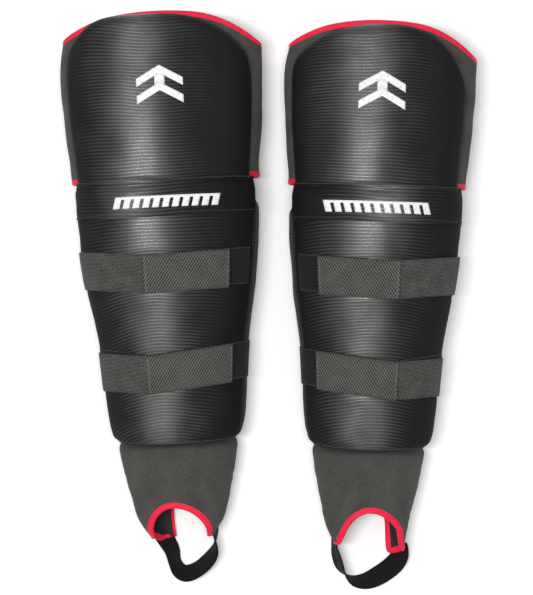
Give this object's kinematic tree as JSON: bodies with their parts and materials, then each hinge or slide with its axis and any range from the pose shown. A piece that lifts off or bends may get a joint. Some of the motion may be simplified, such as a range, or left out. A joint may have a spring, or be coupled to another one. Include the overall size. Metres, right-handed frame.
{
  "type": "hockey shin guards",
  "caption": "Pair of soft hockey shin guards lying on their backs: padded knee cap and shin panel, wrap straps, ankle sleeve and foot stirrup.",
  "frame": {"origin": "on the floor, in the middle of the bounding box of the pair", "axes": "+X to the right of the pair as seen from the front, +Y up the leg towards the knee, +Z out of the floor, towards the front of the guards"},
  "size_m": [0.4188, 0.5754, 0.0832],
  "materials": {
    "foam": "closed-cell foam, hidden",
    "hook": "hook tape, black",
    "lining": "brushed lining, black",
    "loop": "loop tape, black",
    "neoprene": "knit-faced neoprene, dark grey",
    "print": "screen print, off-white",
    "red": "knitted binding tape, red",
    "satin": "ribbed satin nylon, black",
    "shell": "moulded plastic, hidden",
    "stirrup": "woven webbing, dark brown-black",
    "webbing": "woven elastic, dark grey"
  },
  "bodies": {
    "left_shin": {"left_shin_cover": "satin", "left_shin_shell": "shell", "left_shin_foam": "foam", "left_shin_liner": "lining", "left_front_band": "satin", "left_band_mark": "print", "left_upper_loop_patch": "loop", "left_upper_strap_calf": "webbing", "left_lower_loop_patch": "loop", "left_lower_strap_calf": "webbing"},
    "left_knee": {"left_knee_cover": "satin", "left_knee_shell": "shell", "left_knee_foam": "foam", "left_knee_cuff": "neoprene", "left_cuff_top_binding": "red", "left_cuff_bottom_binding": "red", "left_emblem": "print"},
    "left_ankle": {"left_ankle_sleeve": "neoprene", "left_ankle_binding": "red"},
    "left_stirrup": {"left_stirrup_strap": "stirrup"},
    "left_upper_front": {"left_upper_strap_front": "webbing"},
    "left_upper_tab": {"left_upper_strap_tab": "webbing", "left_upper_hook_patch": "hook"},
    "left_lower_front": {"left_lower_strap_front": "webbing"},
    "left_lower_tab": {"left_lower_strap_tab": "webbing", "left_lower_hook_patch": "hook"},
    "right_shin": {"right_shin_cover": "satin", "right_shin_shell": "shell", "right_shin_foam": "foam", "right_shin_liner": "lining", "right_front_band": "satin", "right_band_mark": "print", "right_upper_loop_patch": "loop", "right_upper_strap_calf": "webbing", "right_lower_loop_patch": "loop", "right_lower_strap_calf": "webbing"},
    "right_knee": {"right_knee_cover": "satin", "right_knee_shell": "shell", "right_knee_foam": "foam", "right_knee_cuff": "neoprene", "right_cuff_top_binding": "red", "right_cuff_bottom_binding": "red", "right_emblem": "print"},
    "right_ankle": {"right_ankle_sleeve": "neoprene", "right_ankle_binding": "red"},
    "right_stirrup": {"right_stirrup_strap": "stirrup"},
    "right_upper_front": {"right_upper_strap_front": "webbing"},
    "right_upper_tab": {"right_upper_strap_tab": "webbing", "right_upper_hook_patch": "hook"},
    "right_lower_front": {"right_lower_strap_front": "webbing"},
    "right_lower_tab": {"right_lower_strap_tab": "webbing", "right_lower_hook_patch": "hook"}
  },
  "joints": [
    {"name": "left_knee_bend", "type": "hinge", "parent": "left_shin", "child": "left_knee", "pos_m": [-0.10152, 0.11214, 0.07718], "axis": [0.999, 0.0454, 0], "range_deg": [-15, 25], "deforming": ["left_front_band"]},
    {"name": "left_ankle_bend", "type": "hinge", "parent": "left_shin", "child": "left_ankle", "pos_m": [-0.0898, -0.14609, 0.04398], "axis": [0.999, 0.0454, 0], "range_deg": [-25, 10]},
    {"name": "left_stirrup_swing", "type": "hinge", "parent": "left_ankle", "child": "left_stirrup", "pos_m": [-0.08578, -0.2345, 0.01888], "axis": [0.999, 0.0454, 0], "range_deg": [-40, 10]},
    {"name": "left_upper_strap_open", "type": "hinge", "parent": "left_shin", "child": "left_upper_front", "pos_m": [-0.17533, 0.02421, 0.05109], "axis": [0.1421, -0.9888, -0.0462], "range_deg": [0, 135]},
    {"name": "left_upper_tab_peel", "type": "hinge", "parent": "left_upper_front", "child": "left_upper_tab", "pos_m": [-0.11782, 0.02682, 0.07725], "axis": [0.0719, -0.9952, -0.0662], "range_deg": [0, 135]},
    {"name": "left_lower_strap_open", "type": "hinge", "parent": "left_shin", "child": "left_lower_front", "pos_m": [-0.15923, -0.07466, 0.04484], "axis": [0.113, -0.9921, -0.0551], "range_deg": [0, 135]},
    {"name": "left_lower_tab_peel", "type": "hinge", "parent": "left_lower_front", "child": "left_lower_tab", "pos_m": [-0.11537, -0.07267, 0.06741], "axis": [0.0698, -0.9938, -0.087], "range_deg": [0, 135]},
    {"name": "right_knee_bend", "type": "hinge", "parent": "right_shin", "child": "right_knee", "pos_m": [0.10928, 0.10615, 0.08026], "axis": [0.9995, -0.0305, 0], "range_deg": [-15, 25], "deforming": ["right_front_band"]},
    {"name": "right_ankle_bend", "type": "hinge", "parent": "right_shin", "child": "right_ankle", "pos_m": [0.10138, -0.15223, 0.04574], "axis": [0.9995, -0.0305, 0], "range_deg": [-25, 10]},
    {"name": "right_stirrup_swing", "type": "hinge", "parent": "right_ankle", "child": "right_stirrup", "pos_m": [0.09868, -0.24069, 0.01963], "axis": [0.9995, -0.0305, 0], "range_deg": [-40, 10]},
    {"name": "right_upper_strap_open", "type": "hinge", "parent": "right_shin", "child": "right_upper_front", "pos_m": [0.1811, 0.01941, 0.05234], "axis": [0.122, 0.9914, 0.0482], "range_deg": [0, 135]},
    {"name": "right_upper_tab_peel", "type": "hinge", "parent": "right_upper_front", "child": "right_upper_tab", "pos_m": [0.12575, 0.0211, 0.08015], "axis": [0.0551, 0.9961, 0.0688], "range_deg": [0, 135]},
    {"name": "right_lower_strap_open", "type": "hinge", "parent": "right_shin", "child": "right_lower_front", "pos_m": [0.16712, -0.07971, 0.04582], "axis": [0.0943, 0.9939, 0.0575], "range_deg": [0, 135]},
    {"name": "right_lower_tab_peel", "type": "hinge", "parent": "right_lower_front", "child": "right_lower_tab", "pos_m": [0.12467, -0.07841, 0.06991], "axis": [0.0535, 0.9945, 0.0905], "range_deg": [0, 135]},
    {"name": "pair_apart", "type": "slide", "parent": "left_shin", "child": "right_shin", "axis": [1, 0, 0], "range_m": [0, 0.15]}
  ]
}
